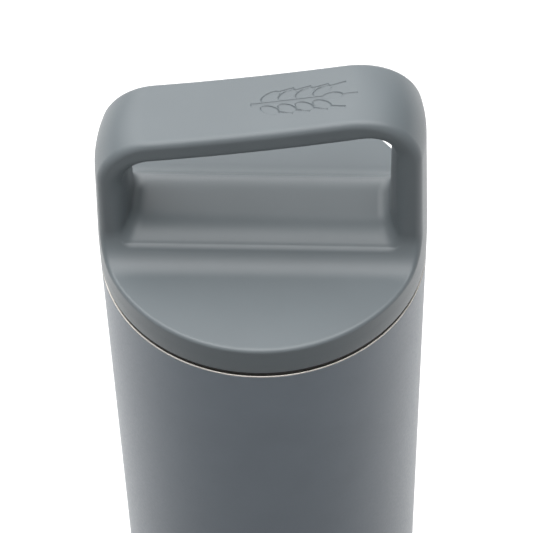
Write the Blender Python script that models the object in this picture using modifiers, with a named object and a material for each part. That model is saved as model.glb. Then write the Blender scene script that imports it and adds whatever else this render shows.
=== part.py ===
"""Insulated growler of 1.9 litres: a vacuum flask with a screw lid and a loop handle moulded in one with the lid.

Metres, +Z up, origin at the centre of the base. The lid is shown screwed home. It leaves along a right-hand thread:
one turn about +Z lifts it by THREAD_LEAD.
"""

from math import cos, pi, radians, sin, tan, tau

import bmesh
import bpy
from mathutils import Matrix, Vector

GAP = 0.0003  # kept between pieces that touch
SEGMENTS = 48  # round a turned piece
SMALL_SEGMENTS = 24

# Flask
RADIUS = 0.060  # outside of the shell and of the lid
DECK_Z = 0.247  # top of the lid's flat deck
SHELL_WALL = 0.0008
SHELL_TOP_Z = 0.2313
FOOT_ROUND = 0.006
FOOT_INNER_R = 0.050
FOOT_WALL = 0.0008
LIP_TOP_Z = 0.2325
LIP_R = 0.0597
LIP_DROP = 0.0009
LINER_WALL = 0.0006
LINER_R = 0.0562  # outside of the chamber
LINER_FLOOR_Z = 0.0150  # underside of the chamber's floor
LINER_FLOOR_ROUND = 0.008
SHOULDER_LOW_Z, SHOULDER_HIGH_Z = 0.197, 0.206
NECK_R = 0.0490  # inside of the neck
NECK_ROUND = 0.0014
FOIL_WALL = 0.0003
FOIL_LOW_Z, FOIL_HIGH_Z = 0.026, 0.192
BASE_Z = 0.0065  # underside of the vacuum base's web
BASE_WALL = 0.0006
DIMPLE_R, DIMPLE_RISE = 0.0050, 0.0021
VENT_R = 0.0010
COVER_Z = 0.0012
COVER_WALL = 0.0006

# Thread, the same helix on the plug and in the neck
THREAD_STARTS = 3
THREAD_LEAD = 0.015
THREAD_SECTIONS = 38  # a little over three quarters of a turn for each start
THREAD_TAPER = 3  # sections over which a ridge rises at each end
RIDGE_BASE, RIDGE_CREST = 0.0026, 0.0012  # widths along the axis
NECK_RIDGE_Z = 0.2135
NECK_CREST_R = 0.0472
PLUG_CREST_R = 0.0482

# Lid
SKIRT_DROP = 0.0124  # from the deck down to the skirt's edge
SKIRT_INNER_R = 0.0560
LEDGE_INNER_R = 0.0545
LEDGE_DROP = 0.0081  # from the deck down to the ledge that the plug's flange meets
DECK_WALL = 0.0034
PLUG_R = 0.0463
PLUG_WALL = 0.0024
PLUG_BOTTOM_Z = 0.2090
FLANGE_R = 0.0555
FLANGE_LOW_Z = 0.2360
GASKET_INNER_R, GASKET_R = 0.0468, 0.0590
GASKET_SKIRT_TOP_Z = 0.2343

# Handle, measured from the deck and the lid's axis. The strap is wide in Y and loops across the lid in X.
STRAP_HALF = 0.0154
FILLET_R = 0.011  # hollow curve from the strap down to the deck, front and back
WINDOW_LOW = 0.0092  # top of the low bar under the window
BAR_TOP = 0.0626  # top of the bar over the lid's axis
BAR_SLOPE = 0.176  # the bar rises towards +X
BAR_THICK = 0.0098
DRAFT = radians(2.1)  # the lid's wall leans in above the deck
LEFT_LEG, RIGHT_LEG = 0.0477, 0.0471  # inner faces of the legs
OUTER_ROUNDS = (0.0182, 0.0248)  # left and right
INNER_ROUNDS = (0.0114, 0.0132)
WINDOW_LOW_ROUND = 0.005
EDGE_ROUND = 0.0015

# Getter
GETTER_X, GETTER_R, GETTER_TALL = 0.024, 0.005, 0.0022
CLIP_WALL, CLIP_WIDE = 0.0004, 0.006

# (red, green, blue), metallic, roughness
POWDER_COAT = (0.155, 0.180, 0.198), 0.0, 0.55
MATT_PLASTIC = (0.160, 0.185, 0.203), 0.0, 0.5
BARE_STEEL = (0.62, 0.61, 0.59), 1.0, 0.3
FOIL = (0.78, 0.50, 0.36), 1.0, 0.25
BLACK_SILICONE = (0.012, 0.012, 0.013), 0.0, 0.7
DARK_PLASTIC = (0.020, 0.021, 0.023), 0.0, 0.45
FOAM = (0.82, 0.80, 0.74), 0.0, 0.9
SOLDER = (0.10, 0.10, 0.11), 0.0, 0.2
GETTER_METAL = (0.30, 0.30, 0.31), 1.0, 0.6


def clear_scene():
    for item in list(bpy.data.objects):
        bpy.data.objects.remove(item)


def collection(name):
    made = bpy.data.collections.new(name)
    bpy.context.scene.collection.children.link(made)
    return made


def material(name, look):
    colour, metallic, roughness = look
    made = bpy.data.materials.new(name)
    made.use_nodes = True
    shader = made.node_tree.nodes["Principled BSDF"]
    shader.inputs["Base Color"].default_value = (*colour, 1)
    shader.inputs["Metallic"].default_value = metallic
    shader.inputs["Roughness"].default_value = roughness
    return made


def part(name, mesh, look, smooth_angle=radians(40)):
    """A sub-part of the growler."""
    made = bpy.data.objects.new(name, mesh)
    PARTS.objects.link(made)
    mesh.materials.append(material(name, look))
    mesh.shade_smooth()
    mesh.set_sharp_from_angle(angle=smooth_angle)
    return made


def cutter(name, mesh):
    """A helper that a Boolean uses."""
    made = bpy.data.objects.new(name, mesh)
    CUTTERS.objects.link(made)
    made.hide_render = True
    made.display_type = "WIRE"
    return made


def boolean(target, other, operation):
    modifier = target.modifiers.new(other.name, "BOOLEAN")
    modifier.object = other
    modifier.operation = operation
    modifier.solver = "EXACT"


def arc(centre, radius, start, end, steps):
    """Points on an arc, with both ends. Angles in degrees."""
    across, up = centre
    turns = [radians(start + (end - start) * i / steps) for i in range(steps + 1)]
    return [(across + radius * cos(turn), up + radius * sin(turn)) for turn in turns]


def rounded(corners, steps=6):
    """A closed outline from (x, y, radius) corners, with an arc at each corner that has a radius."""
    points = []
    for i, (x, y, radius) in enumerate(corners):
        here = Vector((x, y))
        if not radius:
            points.append(here)
            continue
        before = (Vector(corners[i - 1][:2]) - here).normalized()
        after = (Vector(corners[(i + 1) % len(corners)][:2]) - here).normalized()
        half = before.angle(after) / 2
        centre = here + (before + after).normalized() * radius / sin(half)
        start = here + before * radius / tan(half) - centre
        sweep = start.angle_signed(here + after * radius / tan(half) - centre)
        points += [centre + Matrix.Rotation(-sweep * k / steps, 2) @ start for k in range(steps + 1)]
    return points


def turned(profile, closed, segments=SEGMENTS):
    """A mesh turned about Z from an (r, z) profile. An open profile starts and ends on the axis."""
    mesh = bpy.data.meshes.new("turned")
    lines = [(i, i + 1) for i in range(len(profile) - 1)]
    if closed:
        lines.append((len(profile) - 1, 0))
    mesh.from_pydata([(r, 0, z) for r, z in profile], lines, [])
    holder = bpy.data.objects.new("turned", mesh)
    CUTTERS.objects.link(holder)
    screw = holder.modifiers.new("turn", "SCREW")
    screw.steps = screw.render_steps = segments
    screw.use_merge_vertices = True
    screw.merge_threshold = 0.00001
    bpy.context.view_layer.update()
    made = bpy.data.meshes.new_from_object(holder.evaluated_get(bpy.context.evaluated_depsgraph_get()))
    bpy.data.objects.remove(holder)
    return made


def prism(outline, axis, half):
    """A flat outline extruded both ways along X, where it is drawn in (y, z), or along Y, where it is in (x, z)."""
    shape = bmesh.new()
    place = {"X": lambda a, b: (-half, a, b), "Y": lambda a, b: (a, -half, b)}[axis]
    face = shape.faces.new([shape.verts.new(place(a, b)) for a, b in outline])
    moved = bmesh.ops.extrude_face_region(shape, geom=[face])["geom"]
    ends = [item for item in moved if isinstance(item, bmesh.types.BMVert)]
    bmesh.ops.translate(shape, verts=ends, vec=(2 * half, 0, 0) if axis == "X" else (0, 2 * half, 0))
    bmesh.ops.recalc_face_normals(shape, faces=shape.faces)
    mesh = bpy.data.meshes.new("prism")
    shape.to_mesh(mesh)
    shape.free()
    return mesh


def thread_ridges(root_r, crest_r, low_z, turn):
    """Helical ridges, one for each start. Each tapers into the wall at its ends, so its sections are unlike."""
    shape = bmesh.new()
    step = tau / SEGMENTS
    for start in range(THREAD_STARTS):
        rings = []
        for i in range(THREAD_SECTIONS + 1):
            rise = min(1, (i + 0.3) / THREAD_TAPER, (THREAD_SECTIONS - i + 0.3) / THREAD_TAPER)
            crest = root_r + (crest_r - root_r) * rise
            angle = turn + start * tau / THREAD_STARTS + (i + 0.5) * step
            middle = low_z + THREAD_LEAD * i / SEGMENTS
            section = [
                (root_r, middle - RIDGE_BASE / 2),
                (crest, middle - RIDGE_CREST / 2),
                (crest, middle + RIDGE_CREST / 2),
                (root_r, middle + RIDGE_BASE / 2),
            ]
            rings.append([shape.verts.new((r * cos(angle), r * sin(angle), z)) for r, z in section])
        for low, high in zip(rings, rings[1:]):
            for a in range(4):
                b = (a + 1) % 4
                shape.faces.new((low[a], low[b], high[b], high[a]))
        shape.faces.new(reversed(rings[0]))
        shape.faces.new(rings[-1])
    bmesh.ops.recalc_face_normals(shape, faces=shape.faces)
    mesh = bpy.data.meshes.new("thread")
    shape.to_mesh(mesh)
    shape.free()
    return mesh


def outer_shell():
    centre = (RADIUS - FOOT_ROUND, FOOT_ROUND)
    inside = arc(centre, FOOT_ROUND - FOOT_WALL, -90, 0, 4)
    profile = [(RADIUS, SHELL_TOP_Z)] + arc(centre, FOOT_ROUND, 0, -90, 5)
    profile += [(FOOT_INNER_R, 0), (FOOT_INNER_R, FOOT_WALL)] + inside
    profile.append((RADIUS - SHELL_WALL, SHELL_TOP_Z))
    part("outer_shell", turned(profile, closed=True), POWDER_COAT)


def inner_liner():
    """A deep cup, rolled in at the shoulder to a threaded neck and turned out at the top to the drinking lip."""
    corner = (LINER_R - LINER_FLOOR_ROUND, LINER_FLOOR_Z + LINER_FLOOR_ROUND)
    bend = (NECK_R + NECK_ROUND, LIP_TOP_Z - NECK_ROUND)
    edge = 0.0004
    profile = [(0, LINER_FLOOR_Z + LINER_WALL)]
    profile += arc(corner, LINER_FLOOR_ROUND - LINER_WALL, -90, 0, 4)
    profile += [(LINER_R - LINER_WALL, SHOULDER_LOW_Z), (NECK_R, SHOULDER_HIGH_Z)]
    profile += arc(bend, NECK_ROUND, 180, 90, 3)
    profile += [(LIP_R - edge, LIP_TOP_Z), (LIP_R, LIP_TOP_Z - edge), (LIP_R, LIP_TOP_Z - LIP_DROP)]
    profile += [(LIP_R - LINER_WALL, LIP_TOP_Z - LIP_DROP), (LIP_R - LINER_WALL, LIP_TOP_Z - LINER_WALL)]
    profile += arc(bend, NECK_ROUND - LINER_WALL, 90, 180, 2)
    profile += [(NECK_R + LINER_WALL, SHOULDER_HIGH_Z), (LINER_R, SHOULDER_LOW_Z)]
    profile += arc(corner, LINER_FLOOR_ROUND, 0, -90, 4)
    profile.append((0, LINER_FLOOR_Z))
    liner = part("inner_liner", turned(profile, closed=False), BARE_STEEL)
    ridges = thread_ridges(NECK_R + LINER_WALL / 2, NECK_CREST_R, NECK_RIDGE_Z, turn=0)
    boolean(liner, cutter("neck_thread", ridges), "UNION")


def reflector_foil():
    inside = LINER_R + GAP
    outside = inside + FOIL_WALL
    profile = [(outside, FOIL_HIGH_Z), (outside, FOIL_LOW_Z), (inside, FOIL_LOW_Z), (inside, FOIL_HIGH_Z)]
    part("reflector_foil", turned(profile, closed=True), FOIL)


def vacuum_base():
    """A web with a rim turned down into the shell's foot, and a raised dimple with the vent at its centre."""
    rim = FOOT_INNER_R - GAP
    bend, low = 0.0015, 0.0004
    top = BASE_Z + BASE_WALL
    slope = 0.001
    profile = [(VENT_R, top + DIMPLE_RISE), (DIMPLE_R, top + DIMPLE_RISE), (DIMPLE_R + slope, top)]
    profile += [(rim - bend, top), (rim, top - bend), (rim, low), (rim - BASE_WALL, low)]
    profile += [(rim - BASE_WALL, BASE_Z - bend + BASE_WALL / 2), (rim - bend - BASE_WALL / 2, BASE_Z)]
    profile += [(DIMPLE_R + slope - BASE_WALL, BASE_Z), (DIMPLE_R - BASE_WALL, BASE_Z + DIMPLE_RISE)]
    profile.append((VENT_R, BASE_Z + DIMPLE_RISE))
    part("vacuum_base", turned(profile, closed=True), BARE_STEEL)


def seal_bead():
    top = BASE_Z + DIMPLE_RISE - GAP
    profile = [(0, top), (0.0034, top), (0.0038, top - 0.0004), (0.0030, top - 0.0011), (0, top - 0.0014)]
    part("seal_bead", turned(profile, closed=False, segments=SMALL_SEGMENTS), SOLDER)


def getter():
    low = BASE_Z + BASE_WALL + GAP
    shape = bmesh.new()
    bmesh.ops.create_cone(
        shape, cap_ends=True, segments=SMALL_SEGMENTS, radius1=GETTER_R, radius2=GETTER_R, depth=GETTER_TALL
    )
    mesh = bpy.data.meshes.new("getter")
    shape.to_mesh(mesh)
    shape.free()
    made = part("getter", mesh, GETTER_METAL)
    made.location = (GETTER_X, 0, low + GETTER_TALL / 2)


def getter_clip():
    """A bent strip over the getter, with a foot at each side."""
    low = BASE_Z + BASE_WALL + GAP
    high = low + GETTER_TALL + GAP
    leg = GETTER_R + 0.0008
    foot = leg + 0.0035
    line = [(-foot, low), (-leg, low), (-leg, high), (leg, high), (leg, low), (foot, low)]
    shape = bmesh.new()
    rows = [[shape.verts.new((x, y, z)) for x, z in line] for y in (-CLIP_WIDE / 2, CLIP_WIDE / 2)]
    for i in range(len(line) - 1):
        shape.faces.new((rows[0][i], rows[0][i + 1], rows[1][i + 1], rows[1][i]))
    mesh = bpy.data.meshes.new("getter_clip")
    shape.to_mesh(mesh)
    shape.free()
    made = part("getter_clip", mesh, BARE_STEEL)
    made.location = (GETTER_X, 0, 0)
    sheet = made.modifiers.new("sheet", "SOLIDIFY")
    sheet.thickness = CLIP_WALL
    sheet.offset = 1
    sheet.use_even_offset = True


def base_cover():
    """A shallow dished cover with its edge turned up inside the vacuum base's rim."""
    edge = FOOT_INNER_R - GAP - BASE_WALL - GAP
    top = COVER_Z + COVER_WALL
    step_r, step, turn_up = 0.038, 0.0006, 0.0033
    profile = [(0, top + step), (step_r, top + step), (step_r + 0.001, top), (edge - COVER_WALL, top)]
    profile += [(edge - COVER_WALL, COVER_Z + turn_up), (edge, COVER_Z + turn_up), (edge, top)]
    profile += [(edge - COVER_WALL, COVER_Z), (step_r + 0.0012, COVER_Z), (step_r + 0.0002, COVER_Z + step)]
    profile.append((0, COVER_Z + step))
    part("base_cover", turned(profile, closed=False), POWDER_COAT)


def rim_gasket():
    """A flat silicone ring under the skirt, thicker inside the skirt, where it seals under the plug's flange."""
    low, thick_r = LIP_TOP_Z + GAP, SKIRT_INNER_R - 0.0005
    high = FLANGE_LOW_Z - GAP
    profile = [(GASKET_INNER_R, high), (thick_r, high), (thick_r, GASKET_SKIRT_TOP_Z)]
    profile += [(GASKET_R, GASKET_SKIRT_TOP_Z), (GASKET_R, low), (GASKET_INNER_R, low)]
    part("rim_gasket", turned(profile, closed=True), BLACK_SILICONE)


def bar_top(x):
    return BAR_TOP + BAR_SLOPE * x


def wall_x(z):
    """Half the width of the lid at a height over the deck."""
    return RADIUS - z * tan(DRAFT)


def raised(outline):
    return [(across, DECK_Z + up) for across, up in outline]


def handle_outline():
    """The side view of the lid, seen along Y, as (x, z) over the deck. Its walls stand just clear of the lid's."""
    clear, low, side, under = 0.0002, 0.012, RADIUS + 0.006, -SKIRT_DROP - 0.001
    lean = tan(DRAFT)
    reach = RADIUS + clear - lean * BAR_TOP
    right, left = reach / (1 + lean * BAR_SLOPE), -reach / (1 - lean * BAR_SLOPE)
    wall = wall_x(low) + clear
    corners = [(-side, under, 0), (side, under, 0), (side, low, 0), (wall, low, 0)]
    corners += [(right, bar_top(right), OUTER_ROUNDS[1]), (left, bar_top(left), OUTER_ROUNDS[0])]
    corners += [(-wall, low, 0), (-side, low, 0)]
    return raised(rounded(corners, steps=7))


def window_outline():
    left, right = -LEFT_LEG, RIGHT_LEG
    corners = [(left, WINDOW_LOW, WINDOW_LOW_ROUND), (right, WINDOW_LOW, WINDOW_LOW_ROUND)]
    corners += [(right, bar_top(right) - BAR_THICK, INNER_ROUNDS[1])]
    corners += [(left, bar_top(left) - BAR_THICK, INNER_ROUNDS[0])]
    return raised(rounded(corners, steps=5))


def strap_section():
    """The end view of the lid, seen along X, as (y, z) over the deck: the deck, the hollow fillets and the strap."""
    side, under, high = RADIUS + 0.002, -SKIRT_DROP - 0.001, BAR_TOP + 0.020
    centre = STRAP_HALF + FILLET_R
    outline = [(-side, under), (side, under), (side, 0)]
    outline += arc((centre, FILLET_R), FILLET_R, 270, 180, 6)
    outline += [(STRAP_HALF, high), (-STRAP_HALF, high)]
    outline += arc((-centre, FILLET_R), FILLET_R, 0, -90, 6)
    outline.append((-side, 0))
    return raised(outline)


def lid_cap():
    """Deck, skirt and handle in one: a leaning bell trimmed to the strap's end view and to the handle's side view."""
    high = BAR_TOP + 0.015
    skirt, ledge, under = DECK_Z - SKIRT_DROP, DECK_Z - LEDGE_DROP, DECK_Z - DECK_WALL
    profile = [(0, DECK_Z + high), (wall_x(high), DECK_Z + high), (RADIUS, DECK_Z - EDGE_ROUND)]
    profile += [(RADIUS, skirt), (SKIRT_INNER_R, skirt), (SKIRT_INNER_R, ledge), (LEDGE_INNER_R, ledge)]
    profile += [(LEDGE_INNER_R, under), (0, under)]
    cap = part("lid_cap", turned(profile, closed=False), MATT_PLASTIC)
    boolean(cap, cutter("strap_section", prism(strap_section(), "X", 2 * RADIUS)), "INTERSECT")
    boolean(cap, cutter("handle_outline", prism(handle_outline(), "Y", 2 * RADIUS)), "INTERSECT")
    boolean(cap, cutter("window", prism(window_outline(), "Y", RADIUS)), "DIFFERENCE")
    edges = cap.modifiers.new("edges", "BEVEL")
    edges.width = EDGE_ROUND
    edges.segments = 2
    edges.limit_method = "ANGLE"
    edges.angle_limit = radians(50)


def lid_plug():
    """A threaded cup with a flange, which is welded under the cap's ledge."""
    inner, floor, chamfer = PLUG_R - PLUG_WALL, PLUG_BOTTOM_Z + PLUG_WALL, 0.0015
    flange_top = DECK_Z - LEDGE_DROP - GAP
    profile = [(0, floor), (inner, floor), (inner, flange_top), (FLANGE_R, flange_top)]
    profile += [(FLANGE_R, FLANGE_LOW_Z), (PLUG_R, FLANGE_LOW_Z), (PLUG_R, PLUG_BOTTOM_Z + chamfer)]
    profile += [(PLUG_R - chamfer, PLUG_BOTTOM_Z), (0, PLUG_BOTTOM_Z)]
    plug = part("lid_plug", turned(profile, closed=False), DARK_PLASTIC)
    midway = pi / THREAD_STARTS  # puts its ridges halfway between the neck's
    ridges = thread_ridges(PLUG_R - PLUG_WALL / 2, PLUG_CREST_R, NECK_RIDGE_Z, turn=midway)
    boolean(plug, cutter("plug_thread", ridges), "UNION")


def plug_insulation():
    """A foam plug with a wide head, which fills the cup and the room under the deck."""
    top, step = DECK_Z - DECK_WALL - GAP, DECK_Z - LEDGE_DROP
    head, stem = LEDGE_INNER_R - GAP, PLUG_R - PLUG_WALL - GAP
    low = PLUG_BOTTOM_Z + PLUG_WALL + GAP
    profile = [(0, top), (head, top), (head, step), (stem, step), (stem, low), (0, low)]
    part("plug_insulation", turned(profile, closed=False), FOAM)


clear_scene()
PARTS = collection("growler")
CUTTERS = collection("cutters")

outer_shell()
inner_liner()
reflector_foil()
vacuum_base()
seal_bead()
getter()
getter_clip()
base_cover()
rim_gasket()
lid_cap()
lid_plug()
plug_insulation()
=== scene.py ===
"""Looks of the insulated growler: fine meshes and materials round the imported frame.

The lid, its handle and its deck are one surface, the zero level of lid_field, so every edge and
hollow in it is a true round. The flask's pieces and the plug are turned, with their threads in the
same mesh.
"""

from math import atan2, cos, pi, radians, sin, tan, tau

import bmesh
import bpy
import numpy as np
import openvdb
from mathutils import Matrix, Vector


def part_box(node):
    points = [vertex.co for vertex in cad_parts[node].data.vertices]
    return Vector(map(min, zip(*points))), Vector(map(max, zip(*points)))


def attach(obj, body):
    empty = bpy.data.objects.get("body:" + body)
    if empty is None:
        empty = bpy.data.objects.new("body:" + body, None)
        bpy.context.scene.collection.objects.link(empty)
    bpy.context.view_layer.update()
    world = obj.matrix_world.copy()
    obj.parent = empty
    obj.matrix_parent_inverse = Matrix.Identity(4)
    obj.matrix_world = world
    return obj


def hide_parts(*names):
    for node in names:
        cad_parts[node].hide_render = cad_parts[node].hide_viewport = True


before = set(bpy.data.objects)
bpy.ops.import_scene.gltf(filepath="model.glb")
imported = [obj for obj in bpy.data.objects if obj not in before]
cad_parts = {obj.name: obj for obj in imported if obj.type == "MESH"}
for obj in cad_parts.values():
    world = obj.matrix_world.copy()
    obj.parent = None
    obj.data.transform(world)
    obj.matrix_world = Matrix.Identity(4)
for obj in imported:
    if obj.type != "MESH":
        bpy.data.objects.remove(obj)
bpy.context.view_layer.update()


def extent(node):
    """A node's largest radius and its lowest and highest points, in metres, from the frame."""
    low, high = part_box(node)
    return high[0], low[2], high[2]


RADIUS, _, _ = extent("outer_shell")
_, SKIRT_Z, HIGHEST = extent("lid_cap")
LIP_R, LINER_FLOOR, LIP_TOP = extent("inner_liner")
GASKET_R, GASKET_LOW, GASKET_HIGH = extent("rim_gasket")
FLANGE_R, PLUG_LOW, PLUG_HIGH = extent("lid_plug")
BASE_RIM_R, BASE_RIM_LOW, _ = extent("vacuum_base")
COVER_R, COVER_LOW, COVER_HIGH = extent("base_cover")

# The lid's sizes in metres: heights are over its deck, and widths are from its axis
SKIRT_DROP = 0.0124
DECK_Z = SKIRT_Z + SKIRT_DROP
STRAP_HALF, STRAP_LEAN = 0.0161, tan(radians(1.0))  # the strap is the handle's slab, before its window
FILLET_R = 0.012
BAR_TOP, BAR_SLOPE, BAR_SAG = 0.0622, 0.1766, 0.6
BAR_THICK = 0.0098
DRAFT, DRAFT_EASE = tan(radians(2.07)), 0.004
LEFT_LEG, RIGHT_LEG = 0.0466, 0.0462
OUTER_ROUNDS = (0.0177, 0.0252)  # left and right
INNER_ROUNDS = (0.0114, 0.0132)
SIDE_BLEND = 0.02  # left rounds turn into right ones from this far left to this far right
LOW_CORNER_ROUND, LOW_CORNER_TOP, CORNER_BLEND = 0.005, 0.02, 0.01
SADDLE_HIGH = 0.0106
FLARE_START, FLARE_END, FLARE_R = 0.0040, 0.0168, 0.021
RIM_ROUND, STRAP_ROUND = 0.00144, 0.0024
SADDLE_ROUND, WINDOW_ROUND = 0.0013, 0.0036
WINDOW_BLEND_START, WINDOW_BLEND = 0.012, 0.02
LID_CELL = 0.0008
CUT_DROP = 0.006  # below this the lid is turned and not a level surface


# ---------------------------------------------------------------- shapes


def mix(low, high, share):
    """From low, where share is 0 or less, to high, where it is 1 or more."""
    return low + (high - low) * np.clip(share, 0, 1)


def round_max(a, b, radius):
    """Where two fields both hold, with the edge between them rounded."""
    corner = np.hypot(np.maximum(a + radius, 0), np.maximum(b + radius, 0))
    return np.minimum(np.maximum(a, b), -radius) + corner


def round_min(a, b, radius):
    """Where either field holds, with the hollow between them filled to a round."""
    corner = np.hypot(np.maximum(radius - a, 0), np.maximum(radius - b, 0))
    return np.maximum(np.minimum(a, b), radius) - corner


def bar_height(x):
    """The bar's top face, over the deck."""
    return BAR_TOP + BAR_SLOPE * x + BAR_SAG * x**2


def flare(y):
    """How far the window has widened at y: most at the faces of the strap."""
    away = np.clip(np.abs(y), FLARE_START, FLARE_END) - FLARE_START
    return FLARE_R - np.sqrt(FLARE_R**2 - away**2)


def lid_field(x, y, z):
    """Negative inside the lid. z is over the deck."""
    flat = 1 / np.sqrt(1 + BAR_SLOPE**2)
    bar_top = bar_height(x)
    lean = DRAFT * (z + np.sqrt(z**2 + DRAFT_EASE**2)) / 2
    wall = np.hypot(x, y) - (RADIUS - lean)
    side = (x + SIDE_BLEND) / (2 * SIDE_BLEND)
    outer_round = mix(*OUTER_ROUNDS, side)
    outside = round_max((z - bar_top) * flat, wall, outer_round)
    strap = round_min(z, np.abs(y) - STRAP_HALF + STRAP_LEAN * z, FILLET_R)
    solid = round_max(strap, outside, mix(RIM_ROUND, STRAP_ROUND, z / FILLET_R))
    sides = np.maximum(-(x + LEFT_LEG), x - RIGHT_LEG) - flare(y)
    ends = np.maximum(SADDLE_HIGH - flare(y) - z, (z - bar_top + BAR_THICK) * flat)
    top_round = mix(*INNER_ROUNDS, side)
    inner_round = mix(LOW_CORNER_ROUND, top_round, (z - LOW_CORNER_TOP) / CORNER_BLEND)
    window = round_max(sides, ends, inner_round)
    edge_round = mix(SADDLE_ROUND, WINDOW_ROUND, (z - WINDOW_BLEND_START) / WINDOW_BLEND)
    return round_max(solid, -window, edge_round)


# The ear of barley: where it starts, its bare stem, its pairs of kernels, and one kernel at its top
EAR_START, EAR_STEM, EAR_PAIRS, EAR_SPACING, EAR_TOP_GAP = -0.0028, 0.0066, 4, 0.0060, 0.6
KERNEL_LONG, KERNEL_WIDE, KERNEL_OUT, KERNEL_LEAN = 0.0035, 0.0017, 0.0032, radians(27)
AWN_LONG, AWN_HALF, AWN_LEAN, AWN_ROOT = 0.0050, 0.00035, radians(12), -0.001
STEM_HALF = 0.0005
EAR_DEPTH, EAR_SLOPE = 0.00045, 0.00040
EAR_REFINED, EAR_CUTS = 1.2 * LID_CELL, 5


def leaned(x, y, lean):
    """Coordinates along and across a line that leans out from the X axis."""
    return x * cos(lean) + y * sin(lean), y * cos(lean) - x * sin(lean)


def bar_of(along, across, start, end, half):
    """Distance to the edge of a straight bar, negative inside."""
    return np.maximum(np.abs(across) - half, np.maximum(start - along, along - end))


def kernel_and_awn(x, y, lean):
    """One kernel with its centre at (0, 0), and the awn from its tip."""
    along, across = leaned(x, y, lean)
    kernel = (np.hypot(along / KERNEL_LONG, across / KERNEL_WIDE) - 1) * KERNEL_WIDE
    tip_x, tip_y = KERNEL_LONG * cos(lean), KERNEL_LONG * sin(lean)
    along, across = leaned(x - tip_x, y - tip_y, lean / KERNEL_LEAN * AWN_LEAN)
    awn = bar_of(along, across, AWN_ROOT, AWN_LONG, AWN_HALF)
    return np.minimum(kernel, awn)


def ear_of_barley(x, y):
    """Distance to the edge of the ear pressed in the bar's top, negative inside. It lies along X."""
    first = EAR_START + EAR_STEM
    top = first + (EAR_PAIRS - 1 + EAR_TOP_GAP) * EAR_SPACING
    shapes = [bar_of(x, y, EAR_START, top, STEM_HALF), kernel_and_awn(x - top, y, 0)]
    for pair in range(EAR_PAIRS):
        along = x - first - pair * EAR_SPACING
        shapes.append(kernel_and_awn(along, np.abs(y) - KERNEL_OUT, KERNEL_LEAN))
    return np.minimum.reduce(shapes)


def eased(share):
    """A share from 0 to 1 that starts and ends gently."""
    return share * share * (3 - 2 * share)


def in_bar_top(x, z):
    return z > bar_height(x) - BAR_THICK / 2


def pressed_field(x, y, z):
    """The lid with the ear pressed in."""
    press = eased(mix(0, 1, 0.5 - ear_of_barley(x, y) / EAR_SLOPE))
    return lid_field(x, y, z) + EAR_DEPTH * press * in_bar_top(x, z)


def slopes(field, points, step):
    """The field's gradient at each point."""
    rows = []
    for axis in range(3):
        ahead, behind = points.copy(), points.copy()
        ahead[:, axis] += step
        behind[:, axis] -= step
        rows.append((field(*ahead.T) - field(*behind.T)) / (2 * step))
    return np.stack(rows, axis=1)


SETTLE_STEP, NORMAL_STEP, LEAST_SLOPE = 0.00002, 0.00003, 0.05


def settle(field, points, rounds=4):
    """Moves each point onto the field's zero level."""
    for _ in range(rounds):
        slope = slopes(field, points, SETTLE_STEP)
        steepness = np.maximum((slope**2).sum(1), LEAST_SLOPE)
        points = points - slope * (field(*points.T) / steepness)[:, None]
    return points


SHARP_ANGLE = radians(35)


def put(name, mesh, body, slot, look, *nodes):
    """Adds a finished piece that stands for CAD nodes."""
    mesh.name = name
    made = bpy.data.objects.new(name, mesh)
    bpy.context.scene.collection.objects.link(made)
    mesh.materials.clear()
    mesh.materials.append(look)
    mesh.shade_smooth()
    mesh.set_sharp_from_angle(angle=SHARP_ANGLE)
    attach(made, body)
    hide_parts(*nodes)


def arc(before, here, after, radius, steps):
    """Points on the round at a corner, between its neighbours."""
    before, after = (before - here).normalized(), (after - here).normalized()
    half = before.angle(after) / 2
    centre = here + (before + after).normalized() * radius / sin(half)
    start = here + before * radius / tan(half) - centre
    sweep = start.angle_signed(here + after * radius / tan(half) - centre)
    return [tuple(centre + Matrix.Rotation(-sweep * k / steps, 2) @ start) for k in range(steps + 1)]


def profile(corners, steps=4):
    """An open (r, z) line from (r, z, round) corners, with an arc at each that has a round."""
    points = []
    for i, (r, z, radius) in enumerate(corners):
        here = Vector((r, z))
        if not radius:
            points.append(tuple(here))
            continue
        before, after = Vector(corners[i - 1][:2]), Vector(corners[(i + 1) % len(corners)][:2])
        points += arc(before, here, after, radius, steps)
    return points


SEGMENTS = 240
NOTHING = 1e-6  # lengths shorter than this count as none


def turned_rings(line, segments, ridge):
    """The points of a turned mesh, and which are on each ring. A ring on the axis is one point."""
    turn = np.arange(segments) * tau / segments
    points, rings = [], []
    for r, z in line:
        if r < NOTHING:
            rings.append([len(points)])
            points.append((0, 0, z))
            continue
        radius = r + (ridge(turn, r, z) if ridge else 0) * np.ones(segments)
        rings.append(list(range(len(points), len(points) + segments)))
        points += zip(radius * np.cos(turn), radius * np.sin(turn), [z] * segments)
    return points, rings


def turned(line, closed, segments=SEGMENTS, ridge=None):
    """A mesh turned about Z from (r, z) points, which run down its outer side.

    ridge(turn, r, z) says how far each point of a ring moves out.
    """
    points, rings = turned_rings(line, segments, ridge)
    faces = []
    pairs = list(zip(rings, rings[1:])) + ([(rings[-1], rings[0])] if closed else [])
    for high, low in pairs:
        for i in range(segments):
            j = (i + 1) % segments
            corners = [high[i % len(high)], low[i % len(low)], low[j % len(low)], high[j % len(high)]]
            faces.append(tuple(dict.fromkeys(corners)))  # three corners where a ring is one point
    mesh = bpy.data.meshes.new("turned")
    mesh.from_pydata(points, [], faces)
    return mesh


# ---------------------------------------------------------------- the lid

SKIRT_INNER_R, LEDGE_INNER_R = 0.0560, 0.0545
LEDGE_DROP, DECK_WALL = 0.0081, 0.0034


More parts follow.
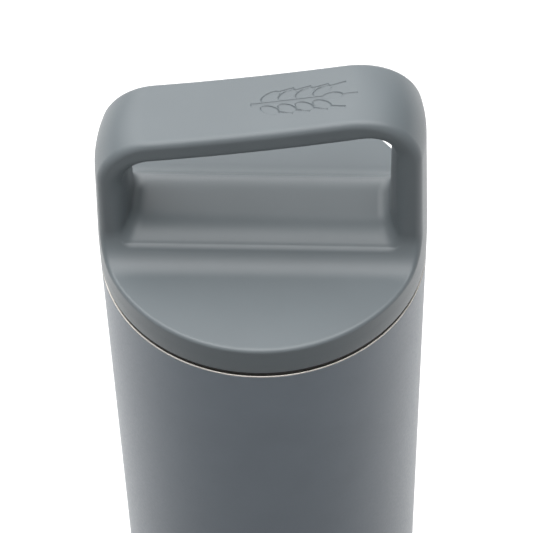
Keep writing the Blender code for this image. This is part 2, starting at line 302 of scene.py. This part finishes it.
def level_mesh():
    """The zero level of the lid's field as a mesh, open below."""
    margin = 3 * LID_CELL
    low = np.array([-RADIUS - margin, -RADIUS - margin, -CUT_DROP - margin])
    high = np.array([RADIUS + margin, RADIUS + margin, HIGHEST - DECK_Z + margin])
    counts = np.ceil((high - low) / LID_CELL).astype(int)
    x, y, z = [low[k] + np.arange(counts[k]) * LID_CELL for k in range(3)]
    values = lid_field(x[:, None, None], y[None, :, None], z[None, None, :]) / LID_CELL
    grid = openvdb.FloatGrid(1.0)
    grid.copyFromArray(values.astype(np.float32))
    points, quads = grid.convertToQuads(0.0)
    points = low + points.astype(np.float64) * LID_CELL
    # The grid's own floor closes the surface: those faces go before the points settle
    quads = quads[points[quads][:, :, 2].min(1) > -CUT_DROP - 1.5 * LID_CELL]
    mesh = bpy.data.meshes.new("level")
    mesh.from_pydata(settle(lid_field, points).tolist(), [], quads.tolist())
    return mesh


def level_surface():
    """The lid's upper part as an open bmesh on the zero level of its field, cut flat below."""
    mesh = level_mesh()
    shape = bmesh.new()
    shape.from_mesh(mesh)
    bpy.data.meshes.remove(mesh)
    loose = [vert for vert in shape.verts if not vert.link_faces]
    bmesh.ops.delete(shape, geom=loose, context="VERTS")
    everything = shape.verts[:] + shape.edges[:] + shape.faces[:]
    bmesh.ops.bisect_plane(
        shape,
        geom=everything,
        plane_co=(0, 0, -CUT_DROP),
        plane_no=(0, 0, 1),
        clear_inner=True,
        dist=1e-7,
    )
    bmesh.ops.recalc_face_normals(shape, faces=shape.faces)
    return shape


def refine_ear(shape):
    """Splits the faces under the edges of the pressed-in ear, so that they're crisp."""
    faces = []
    for face in shape.faces:
        x, y, z = face.calc_center_median()
        if in_bar_top(x, z) and abs(ear_of_barley(x, y)) < EAR_REFINED:
            faces.append(face)
    edges = list({edge for face in faces for edge in face.edges})
    bmesh.ops.subdivide_edges(shape, edges=edges, cuts=EAR_CUTS, use_grid_fill=True)


def turn_down(shape, line):
    """Carries the surface's open edge down and in along a turned (r, z) line, and closes it."""
    ring = [vert for vert in shape.verts if vert.is_boundary]
    ring.sort(key=lambda vert: atan2(vert.co.y, vert.co.x))
    outward = [Vector((vert.co.x, vert.co.y)).normalized() for vert in ring]
    for vert, out in zip(ring, outward):
        vert.co = (*(out * RADIUS), -CUT_DROP)
    for r, z in line:
        lower = [shape.verts.new((*(out * r), z)) for out in outward]
        for i in range(len(ring)):
            shape.faces.new((ring[i - 1], ring[i], lower[i], lower[i - 1]))
        ring = lower
    shape.faces.new(ring)


def press_ear(shape):
    """Moves the points onto the field with the ear in it, apart from those on the open edge."""
    points = settle(pressed_field, np.array([vert.co for vert in shape.verts], float))
    for vert, point in zip(shape.verts, points):
        if not vert.is_boundary:
            vert.co = point


def underside_line():
    """The skirt's edge, the ledge for the gasket and the ceiling, as a line in from the cut."""
    edge, ledge, ceiling = -SKIRT_DROP, -LEDGE_DROP, -DECK_WALL
    corners = [(RADIUS, -CUT_DROP, 0), (RADIUS, edge, 0.00015), (SKIRT_INNER_R, edge, 0.0004)]
    corners += [(SKIRT_INNER_R, ledge, 0), (LEDGE_INNER_R, ledge, 0), (LEDGE_INNER_R, ceiling, 0)]
    return profile(corners)[1:]


def shade_by_field(mesh, count):
    """Takes the shading of the first points from the field itself, above the cut."""
    places = np.array([vert.co for vert in mesh.vertices], float)
    normals = slopes(pressed_field, places, NORMAL_STEP)
    normals /= np.linalg.norm(normals, axis=1)[:, None]
    # A normal of zero is left to Blender
    normals[count:] = 0
    normals[places[:, 2] < -CUT_DROP + 1e-5] = 0
    corners = np.zeros(len(mesh.loops), np.int32)
    mesh.loops.foreach_get("vertex_index", corners)
    mesh.normals_split_custom_set(normals[corners].tolist())


def lid_cap(look):
    """The deck, the skirt and the handle, in one piece."""
    shape = level_surface()
    refine_ear(shape)
    press_ear(shape)
    count = len(shape.verts)
    turn_down(shape, underside_line())
    bmesh.ops.recalc_face_normals(shape, faces=shape.faces)
    mesh = bpy.data.meshes.new("lid")
    shape.to_mesh(mesh)
    shape.free()
    put("lid_cap_fine", mesh, "lid", "lid_plastic", look, "lid_cap")
    shade_by_field(mesh, count)
    mesh.transform(Matrix.Translation((0, 0, DECK_Z)))


# ---------------------------------------------------------------- threads

THREAD_STARTS, THREAD_LEAD, THREAD_TURN = 3, 0.015, 38 / 48
NECK_START = tau / 96
PLUG_START = NECK_START + pi / THREAD_STARTS
RIDGE_BASE, RIDGE_CREST, RIDGE_TAPER = 0.0026, 0.0012, 0.05
NECK_R, NECK_CREST_R = 0.0490, 0.0472
PLUG_R, PLUG_CREST_R = 0.0463, 0.0482
RIDGE_Z = 0.2135
THREAD_TOP, THREAD_LOW, THREAD_ROW = RIDGE_Z + 0.0145, RIDGE_Z - 0.0025, 0.0004


def ridge_share(turn, z, offset):
    """How far a thread's ridges rise at a height, from 0 at the wall to 1 at the crest."""
    share = np.zeros(len(turn))
    for start in range(THREAD_STARTS):
        along = ((turn - offset) / tau - start / THREAD_STARTS) % 1
        away = np.abs(z - RIDGE_Z - THREAD_LEAD * along)
        rise = mix(0, 1, (RIDGE_BASE / 2 - away) / ((RIDGE_BASE - RIDGE_CREST) / 2))
        taper = mix(0, 1, np.minimum(along, THREAD_TURN - along) / RIDGE_TAPER)
        share = np.maximum(share, eased(rise * taper))
    return share


def thread_ridge(turn, r, z, wall_r, crest_r, offset):
    """How far out a point on a threaded wall moves. Points off the wall stay."""
    on_wall = abs(r - wall_r) < NOTHING
    return (crest_r - wall_r) * ridge_share(turn, z, offset) * on_wall


def neck_ridge(turn, r, z):
    return thread_ridge(turn, r, z, NECK_R, NECK_CREST_R, NECK_START)


def plug_ridge(turn, r, z):
    return thread_ridge(turn, r, z, PLUG_R, PLUG_CREST_R, PLUG_START)


def rows(r, start, end):
    """Points at one radius from one height to another, close enough for a thread."""
    count = round(abs(end - start) / THREAD_ROW)
    return [(r, start + (end - start) * i / count) for i in range(1, count)]


# ---------------------------------------------------------------- the flask and the plug

SHELL_WALL, LINER_WALL = 0.0008, 0.0006
FOOT_ROUND, FOOT_INNER_R = 0.006, 0.050
LINER_R, FLOOR_ROUND = 0.0562, 0.008
SHOULDER_LOW, SHOULDER_HIGH = 0.197, 0.206
SHOULDER_ROUND, NECK_ROUND = 0.004, 0.0014
SEAL_R = 0.0580  # out to here the lip is flat for the gasket, and past it comes the bead of its edge
BEAD_R, BEAD_TOP, BEAD_ROUND = LIP_R + 0.0002, LIP_TOP - 0.0002, 0.00028
LIP_UNDER_R = LIP_R - 2 * LINER_WALL
COLLAR_TOP = BEAD_TOP - 0.0005
ARC_STEPS = 6


def outer_shell(look):
    """A straight tube, its paint rounded over at the top edge and rolled in under the foot."""
    inside = RADIUS - SHELL_WALL
    corners = [(inside, COLLAR_TOP, 0.0001), (RADIUS, COLLAR_TOP, 0.00015), (RADIUS, 0, FOOT_ROUND)]
    corners += [(FOOT_INNER_R, 0, 0.0003), (FOOT_INNER_R, SHELL_WALL, 0.0002)]
    corners += [(inside, SHELL_WALL, FOOT_ROUND - SHELL_WALL)]
    mesh = turned(profile(corners, ARC_STEPS), closed=True)
    put("outer_shell_fine", mesh, "flask", "powder_coat", look, "outer_shell")


def inner_liner(look):
    """The chamber, the threaded neck and the lip, whose edge is rolled to a bead."""
    inner, outer_neck_r = LINER_R - LINER_WALL, NECK_R + LINER_WALL
    floor_top, lip_low = LINER_FLOOR + LINER_WALL, LIP_TOP - LINER_WALL
    corners = [(0, floor_top, 0), (inner, floor_top, FLOOR_ROUND)]
    corners += [(inner, SHOULDER_LOW, SHOULDER_ROUND), (NECK_R, SHOULDER_HIGH, SHOULDER_ROUND)]
    corners.append((NECK_R, THREAD_LOW, 0))
    line = profile(corners, ARC_STEPS) + rows(NECK_R, THREAD_LOW, THREAD_TOP)
    corners = [(NECK_R, THREAD_TOP, 0), (NECK_R, LIP_TOP, NECK_ROUND), (SEAL_R, LIP_TOP, 0.0004)]
    corners += [(SEAL_R + 0.0005, BEAD_TOP, 0.0003), (BEAD_R, BEAD_TOP, BEAD_ROUND)]
    corners += [(BEAD_R, COLLAR_TOP, 0.00005), (LIP_UNDER_R, COLLAR_TOP, 0)]
    corners += [(LIP_UNDER_R, BEAD_TOP - LINER_WALL, 0), (SEAL_R - LINER_WALL, lip_low, 0)]
    corners.append((outer_neck_r, lip_low, NECK_ROUND - LINER_WALL))
    corners.append((outer_neck_r, SHOULDER_HIGH, SHOULDER_ROUND))
    corners.append((LINER_R, SHOULDER_LOW, SHOULDER_ROUND))
    corners += [(LINER_R, LINER_FLOOR, FLOOR_ROUND), (0, LINER_FLOOR, 0)]
    line += profile(corners, ARC_STEPS)
    mesh = turned(line, closed=False, ridge=neck_ridge)
    put("inner_liner_fine", mesh, "flask", "bare_steel", look, "inner_liner")


def vacuum_base(look):
    """The web with its stiffening ring, the turned-down rim and the dimple with its vent."""
    web, wall, dimple, rise, vent = 0.0065, 0.0006, 0.0050, 0.0021, 0.0010
    ring = [(0.0280, 0), (0.0290, 0.0004), (0.0320, 0.0004), (0.0330, 0)]
    top, rim = web + wall, BASE_RIM_R
    corners = [(vent, top + rise, 0), (dimple, top + rise, 0.0006), (dimple + 0.001, top, 0.0006)]
    corners += [(r, top + up, 0.001) for r, up in ring]
    corners += [(rim, top, 0.0015), (rim, BASE_RIM_LOW, 0.0002)]
    corners += [(rim - wall, BASE_RIM_LOW, 0.0002), (rim - wall, web, 0.0009)]
    corners += [(r, web + up, 0.001) for r, up in reversed(ring)]
    corners += [(dimple + 0.0004, web, 0.0004), (dimple - 0.0006, web + rise, 0.0004)]
    corners.append((vent, web + rise, 0))
    mesh = turned(profile(corners), closed=True, segments=160)
    put("vacuum_base_fine", mesh, "flask", "bare_steel", look, "vacuum_base")


def base_cover(look):
    """A dished cover with its edge turned up, and a shallow step pressed in it."""
    wall, step_r, step = 0.0006, 0.0380, 0.0006
    low, top = COVER_LOW, COVER_LOW + wall
    corners = [(0, top + step, 0), (step_r, top + step, 0.0008), (step_r + 0.001, top, 0.0008)]
    corners += [(COVER_R - wall, top, 0.0004), (COVER_R - wall, COVER_HIGH, 0.0002)]
    corners += [(COVER_R, COVER_HIGH, 0.0002), (COVER_R, low, 0.001)]
    corners += [(step_r + 0.0012, low, 0.0008), (step_r + 0.0002, low + step, 0.0008)]
    corners.append((0, low + step, 0))
    mesh = turned(profile(corners), closed=False)
    put("base_cover_fine", mesh, "flask", "powder_coat", look, "base_cover")


def rim_gasket(look):
    """The flat ring, squeezed out to a rounded edge, with two fine ribs that meet the lip."""
    thick_r, step, inner = SKIRT_INNER_R - 0.0005, GASKET_LOW + 0.0011, 0.0468
    squeezed_r = GASKET_R + 0.0003
    ribs, rib_half, rib_high = (0.0565, 0.0535), 0.0004, 0.0002
    corners = [(inner, GASKET_HIGH, 0.0005), (thick_r, GASKET_HIGH, 0.0005), (thick_r, step, 0.0002)]
    corners += [(squeezed_r, step, 0.0004), (squeezed_r, GASKET_LOW, 0.0002)]
    for rib in ribs:
        corners += [(rib + rib_half, GASKET_LOW, 0.0001), (rib, GASKET_LOW - rib_high, 0.0001)]
        corners.append((rib - rib_half, GASKET_LOW, 0.0001))
    corners.append((inner, GASKET_LOW, 0.0005))
    mesh = turned(profile(corners), closed=True)
    put("rim_gasket_fine", mesh, "seal", "silicone", look, "rim_gasket")


def lid_plug(look):
    """The threaded cup under the lid, with a shallow recess in its bottom."""
    wall, chamfer = 0.0024, 0.0015
    recess_r, recess_slope, recess = 0.0405, 0.001, 0.0008
    inner, floor = PLUG_R - wall, PLUG_LOW + wall
    flange_low = GASKET_HIGH + 0.0003
    corners = [(0, floor, 0), (inner, floor, 0.001), (inner, PLUG_HIGH, 0.0003)]
    corners += [(FLANGE_R, PLUG_HIGH, 0.0003), (FLANGE_R, flange_low, 0.0003)]
    corners += [(PLUG_R, flange_low, 0.0004), (PLUG_R, THREAD_TOP, 0)]
    line = profile(corners) + rows(PLUG_R, THREAD_TOP, THREAD_LOW)
    corners = [(PLUG_R, THREAD_LOW, 0), (PLUG_R, PLUG_LOW, chamfer), (recess_r, PLUG_LOW, 0.0006)]
    corners += [(recess_r - recess_slope, PLUG_LOW + recess, 0.0006), (0, PLUG_LOW + recess, 0)]
    line += profile(corners)
    mesh = turned(line, closed=False, ridge=plug_ridge)
    put("lid_plug_fine", mesh, "lid", "plug_plastic", look, "lid_plug")


# ---------------------------------------------------------------- materials


class Graph:
    """A node tree, built one call at a time."""

    def __init__(self, tree):
        self.tree = tree

    def node(self, kind, inputs=None, **settings):
        made = self.tree.nodes.new(kind)
        for key, value in settings.items():
            setattr(made, key, value)
        for key, value in (inputs or {}).items():
            if isinstance(value, bpy.types.NodeSocket):
                self.tree.links.new(value, made.inputs[key])
            else:
                made.inputs[key].default_value = value
        return made

    def spread(self, value, low, high, start=0.3, end=0.7, kind="LINEAR"):
        """Carries a value that runs from start to end over to one from low to high."""
        inputs = {"Value": value, "From Min": start, "From Max": end, "To Min": low, "To Max": high}
        return self.node("ShaderNodeMapRange", inputs, interpolation_type=kind).outputs["Result"]

    def add(self, a, b):
        return self.node("ShaderNodeMath", {0: a, 1: b}, operation="ADD").outputs[0]

    def times(self, a, b):
        return self.node("ShaderNodeMath", {0: a, 1: b}, operation="MULTIPLY").outputs[0]

    def over(self, a, b):
        return self.node("ShaderNodeMath", {0: a, 1: b}, operation="DIVIDE").outputs[0]

    def length(self, vector):
        return self.node("ShaderNodeVectorMath", {0: vector}, operation="LENGTH").outputs["Value"]

    def split(self, vector):
        return self.node("ShaderNodeSeparateXYZ", {0: vector}).outputs


class Look(Graph):
    """A material's nodes."""

    def __init__(self, name, colour, metallic, roughness):
        self.material = bpy.data.materials.new(name)
        self.material.use_nodes = True
        super().__init__(self.material.node_tree)
        self.shader = self.tree.nodes["Principled BSDF"]
        self.shader.inputs["Base Color"].default_value = (*colour, 1)
        self.shader.inputs["Metallic"].default_value = metallic
        self.shader.inputs["Roughness"].default_value = roughness
        self.place = self.node("ShaderNodeTexCoord").outputs["Object"]

    def noise(self, scale, detail=2.0, roughness=0.5, place=None):
        inputs = {"Vector": place or self.place, "Scale": scale}
        inputs.update({"Detail": detail, "Roughness": roughness})
        return self.node("ShaderNodeTexNoise", inputs).outputs["Fac"]

    def bump(self, height, distance, strength=1.0):
        """Adds a bump on top of any that the shader has."""
        inputs = {"Height": height, "Distance": distance, "Strength": strength}
        normal = self.node("ShaderNodeBump", inputs)
        previous = self.shader.inputs["Normal"].links
        if previous:
            self.tree.links.new(previous[0].from_socket, normal.inputs["Normal"])
        self.tree.links.new(normal.outputs["Normal"], self.shader.inputs["Normal"])

    def roughness(self, value):
        self.tree.links.new(value, self.shader.inputs["Roughness"])

    def shade(self, value, dark, light):
        """Colour between two, by a value from 0 to 1."""
        made = self.node("ShaderNodeMix", data_type="RGBA")
        self.tree.links.new(value, made.inputs[0])
        made.inputs[6].default_value = (*dark, 1)
        made.inputs[7].default_value = (*light, 1)
        self.tree.links.new(made.outputs[2], self.shader.inputs["Base Color"])

    def around(self, across, along):
        """Coordinates for lines round the axis: the radius and the height, each with its scale."""
        x, y, z = self.split(self.place)
        radius = self.length(self.node("ShaderNodeCombineXYZ", {"X": x, "Y": y}).outputs[0])
        inputs = {"X": self.times(radius, across), "Z": self.times(z, along)}
        return self.node("ShaderNodeCombineXYZ", inputs).outputs[0]


def powder_coat():
    """Fine-textured powder coat: a soft orange peel with a sharper grain on it."""
    look = Look("powder coat", COAT, 0.0, 0.38)
    look.shade(look.spread(look.noise(55, 3), 0, 1), [c * 0.97 for c in COAT], [c * 1.03 for c in COAT])
    look.roughness(look.spread(look.noise(900, 2), 0.34, 0.42))
    look.bump(look.noise(1100, 2), 0.00002, 0.5)
    look.bump(look.noise(3200, 2, 0.6), 0.000012, 0.5)
    return look.material


def lid_plastic():
    """Matt moulded plastic with a spark-eroded grain."""
    look = Look("lid plastic", LID, 0.0, 0.42)
    look.shade(look.spread(look.noise(40, 3), 0, 1), [c * 0.975 for c in LID], [c * 1.025 for c in LID])
    look.roughness(look.spread(look.noise(1500, 2), 0.39, 0.45))
    look.bump(look.noise(2600, 3, 0.6), 0.000012, 0.45)
    return look.material


def bare_steel():
    """Stainless steel with fine turning lines round the axis."""
    look = Look("bare steel", STEEL, 1.0, 0.18)
    lines = look.noise(1, 3, 0.65, place=look.around(9000, 9000))
    look.roughness(look.spread(lines, 0.26, 0.38))
    look.bump(lines, 0.000006, 0.6)
    look.shade(look.spread(look.noise(30, 2), 0, 1), [c * 0.94 for c in STEEL], STEEL)
    return look.material


def silicone():
    look = Look("silicone", (0.012, 0.012, 0.013), 0.0, 0.6)
    look.roughness(look.spread(look.noise(1200, 2), 0.5, 0.7))
    look.bump(look.noise(2400, 2), 0.00001, 0.5)
    return look.material


def plug_plastic():
    """Satin black moulded plastic."""
    dark = (0.020, 0.021, 0.023)
    look = Look("plug plastic", dark, 0.0, 0.4)
    look.shade(look.spread(look.noise(60, 3), 0, 1), [c * 0.9 for c in dark], [c * 1.15 for c in dark])
    look.roughness(look.spread(look.noise(1400, 2), 0.34, 0.46))
    look.bump(look.noise(2200, 2), 0.00001, 0.4)
    return look.material


def foam():
    """Closed cells, a millimetre or less across."""
    look = Look("foam", (0.82, 0.80, 0.74), 0.0, 0.9)
    inputs = {"Vector": look.place, "Scale": 1300.0}
    cells = look.node("ShaderNodeTexVoronoi", inputs).outputs["Distance"]
    look.shade(look.spread(cells, 0, 1, 0.0, 0.8), (0.72, 0.70, 0.63), (0.85, 0.83, 0.77))
    look.bump(cells, 0.0002, 0.6)
    return look.material


def copper_foil():
    """Thin foil with soft crinkles."""
    look = Look("foil", (0.78, 0.50, 0.36), 1.0, 0.25)
    look.bump(look.noise(160, 4, 0.6), 0.0006, 0.5)
    look.roughness(look.spread(look.noise(500, 2), 0.18, 0.32))
    return look.material


def solder():
    look = Look("solder", (0.10, 0.10, 0.11), 0.0, 0.15)
    look.bump(look.noise(700, 2), 0.00005, 0.4)
    return look.material


def getter_metal():
    look = Look("getter metal", (0.30, 0.30, 0.31), 1.0, 0.6)
    look.roughness(look.spread(look.noise(2500, 3), 0.5, 0.75))
    look.bump(look.noise(3500, 3, 0.7), 0.00004, 0.8)
    return look.material


COAT = (0.145, 0.168, 0.193)
LID = (0.115, 0.133, 0.143)
STEEL = (0.66, 0.63, 0.58)

coat, steel = powder_coat(), bare_steel()
outer_shell(coat)
inner_liner(steel)
vacuum_base(steel)
base_cover(coat)
rim_gasket(silicone())
lid_plug(plug_plastic())
lid_cap(lid_plastic())

# The pieces sealed inside keep their CAD shapes
sealed = {"plug_insulation": foam(), "reflector_foil": copper_foil(), "seal_bead": solder()}
sealed.update({"getter": getter_metal(), "getter_clip": steel})
for node, look in sealed.items():
    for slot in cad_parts[node].material_slots:
        slot.material = look


# ---------------------------------------------------------------- studio

FLOOR_HALF = 3.0
TURN_EASE = 0.04  # metres from the axis within which the floor's painted shade and glow change more slowly

floor_mesh = bpy.data.meshes.new("floor")
floor_corners = [(x * FLOOR_HALF, y * FLOOR_HALF, 0) for x, y in ((-1, -1), (1, -1), (1, 1), (-1, 1))]
floor_mesh.from_pydata(floor_corners, [], [(0, 1, 2, 3)])
floor = bpy.data.objects.new("floor", floor_mesh)
bpy.context.scene.collection.objects.link(floor)


def paper(back_tone, front_painted_shade, back_glow, front_glow):
    """Paper that glows of itself as painted light, strongest at the back and dim at the front, on a
    colour painted pale at the back and dark at the front as painted shade.
    """
    look = Look("paper", (0.5, 0.5, 0.5), 0.0, 0.9)
    y = look.split(look.place)[1]
    turn = look.over(y, look.add(look.length(look.place), TURN_EASE))
    back = look.spread(turn, 0, 1, -1.0, 0.5, "SMOOTHSTEP")
    # Painted shade: the paper's colour goes dark towards the front and stays pale at the back
    look.shade(back, [front_painted_shade] * 3, [back_tone] * 3)
    look.shader.inputs["Emission Color"].default_value = (1, 1, 1, 1)
    # Painted light: the paper glows most at the back and least at the front
    glow = look.spread(back, front_glow, back_glow, 0, 1)
    look.tree.links.new(glow, look.shader.inputs["Emission Strength"])
    return look.material


floor_look = paper(back_tone=0.35, front_painted_shade=0.05, back_glow=0.84, front_glow=0.10)
floor_mesh.materials.append(floor_look)


# Each light's direction, the cosine at which it starts to show, and its strength
LIGHTS = {
    "overhead": ((0, 0, 1), 0.68, 4.50),
    "front high": ((0, -0.55, 0.85), 0.80, 0.78),
    "front left": ((-0.65, -0.30, 0.75), 0.75, 0.65),
    "right": ((0.70, -0.10, 0.85), 0.80, 0.35),
    "back left": ((-0.60, 0.60, 0.75), 0.85, 3.00),
    "back low": ((0, 1, 0.15), 0.75, 1.52),
    "front low": ((0, -1, 0.20), 0.75, 0.42),
}
HORIZON_GLOW, HORIZON_HIGH = 0.9, 0.06


def studio_world():
    """A dark dome with soft round lights in it, and a pale horizon."""
    world = bpy.data.worlds.new("studio")
    world.use_nodes = True
    sky = Graph(world.node_tree)
    toward = sky.node("ShaderNodeTexCoord").outputs["Generated"]
    # Past the floor's edge the wall is as pale as the floor
    light = sky.spread(sky.split(toward)[2], HORIZON_GLOW, 0, 0.0, HORIZON_HIGH, "SMOOTHSTEP")
    for direction, start, strength in LIGHTS.values():
        aim = tuple(Vector(direction).normalized())
        dot = sky.node("ShaderNodeVectorMath", {0: toward, 1: aim}, operation="DOT_PRODUCT")
        lobe = sky.spread(dot.outputs["Value"], 0, strength, start, 1.0, "SMOOTHSTEP")
        light = sky.add(light, lobe)
    sky.tree.links.new(light, sky.tree.nodes["Background"].inputs["Strength"])
    sky.tree.nodes["Background"].inputs["Color"].default_value = (1, 1, 1, 1)
    bpy.context.scene.world = world


studio_world()
bpy.context.scene.view_settings.view_transform = "Standard"


# ---------------------------------------------------------------- camera

# The view is from above the front. AWAY, ACROSS and LIFT are in lid radii, from the deck's middle
AZIMUTH, ELEVATION, ROLL = radians(3.4), radians(50.679), radians(-1.676)
AWAY, ACROSS, LIFT = 15.4287, 0.01574, -0.43775
LENS, SENSOR = 167.795, 36

back = Vector((sin(AZIMUTH) * cos(ELEVATION), -cos(AZIMUTH) * cos(ELEVATION), sin(ELEVATION)))
right = Vector((cos(AZIMUTH), sin(AZIMUTH), 0))
up = back.cross(right)
place = (right * ACROSS + Vector((0, 0, LIFT)) + back * AWAY) * RADIUS + Vector((0, 0, DECK_Z))
rolled = right * cos(ROLL) + up * sin(ROLL)
facing = Matrix((rolled, back.cross(rolled), back)).transposed().to_4x4()
lens = bpy.data.cameras.new("camera")
lens.lens, lens.sensor_width = LENS, SENSOR
lens.clip_start, lens.clip_end = 0.05, 20
camera = bpy.data.objects.new("camera", lens)
camera.matrix_world = Matrix.Translation(place) @ facing
bpy.context.scene.collection.objects.link(camera)
bpy.context.scene.camera = camera
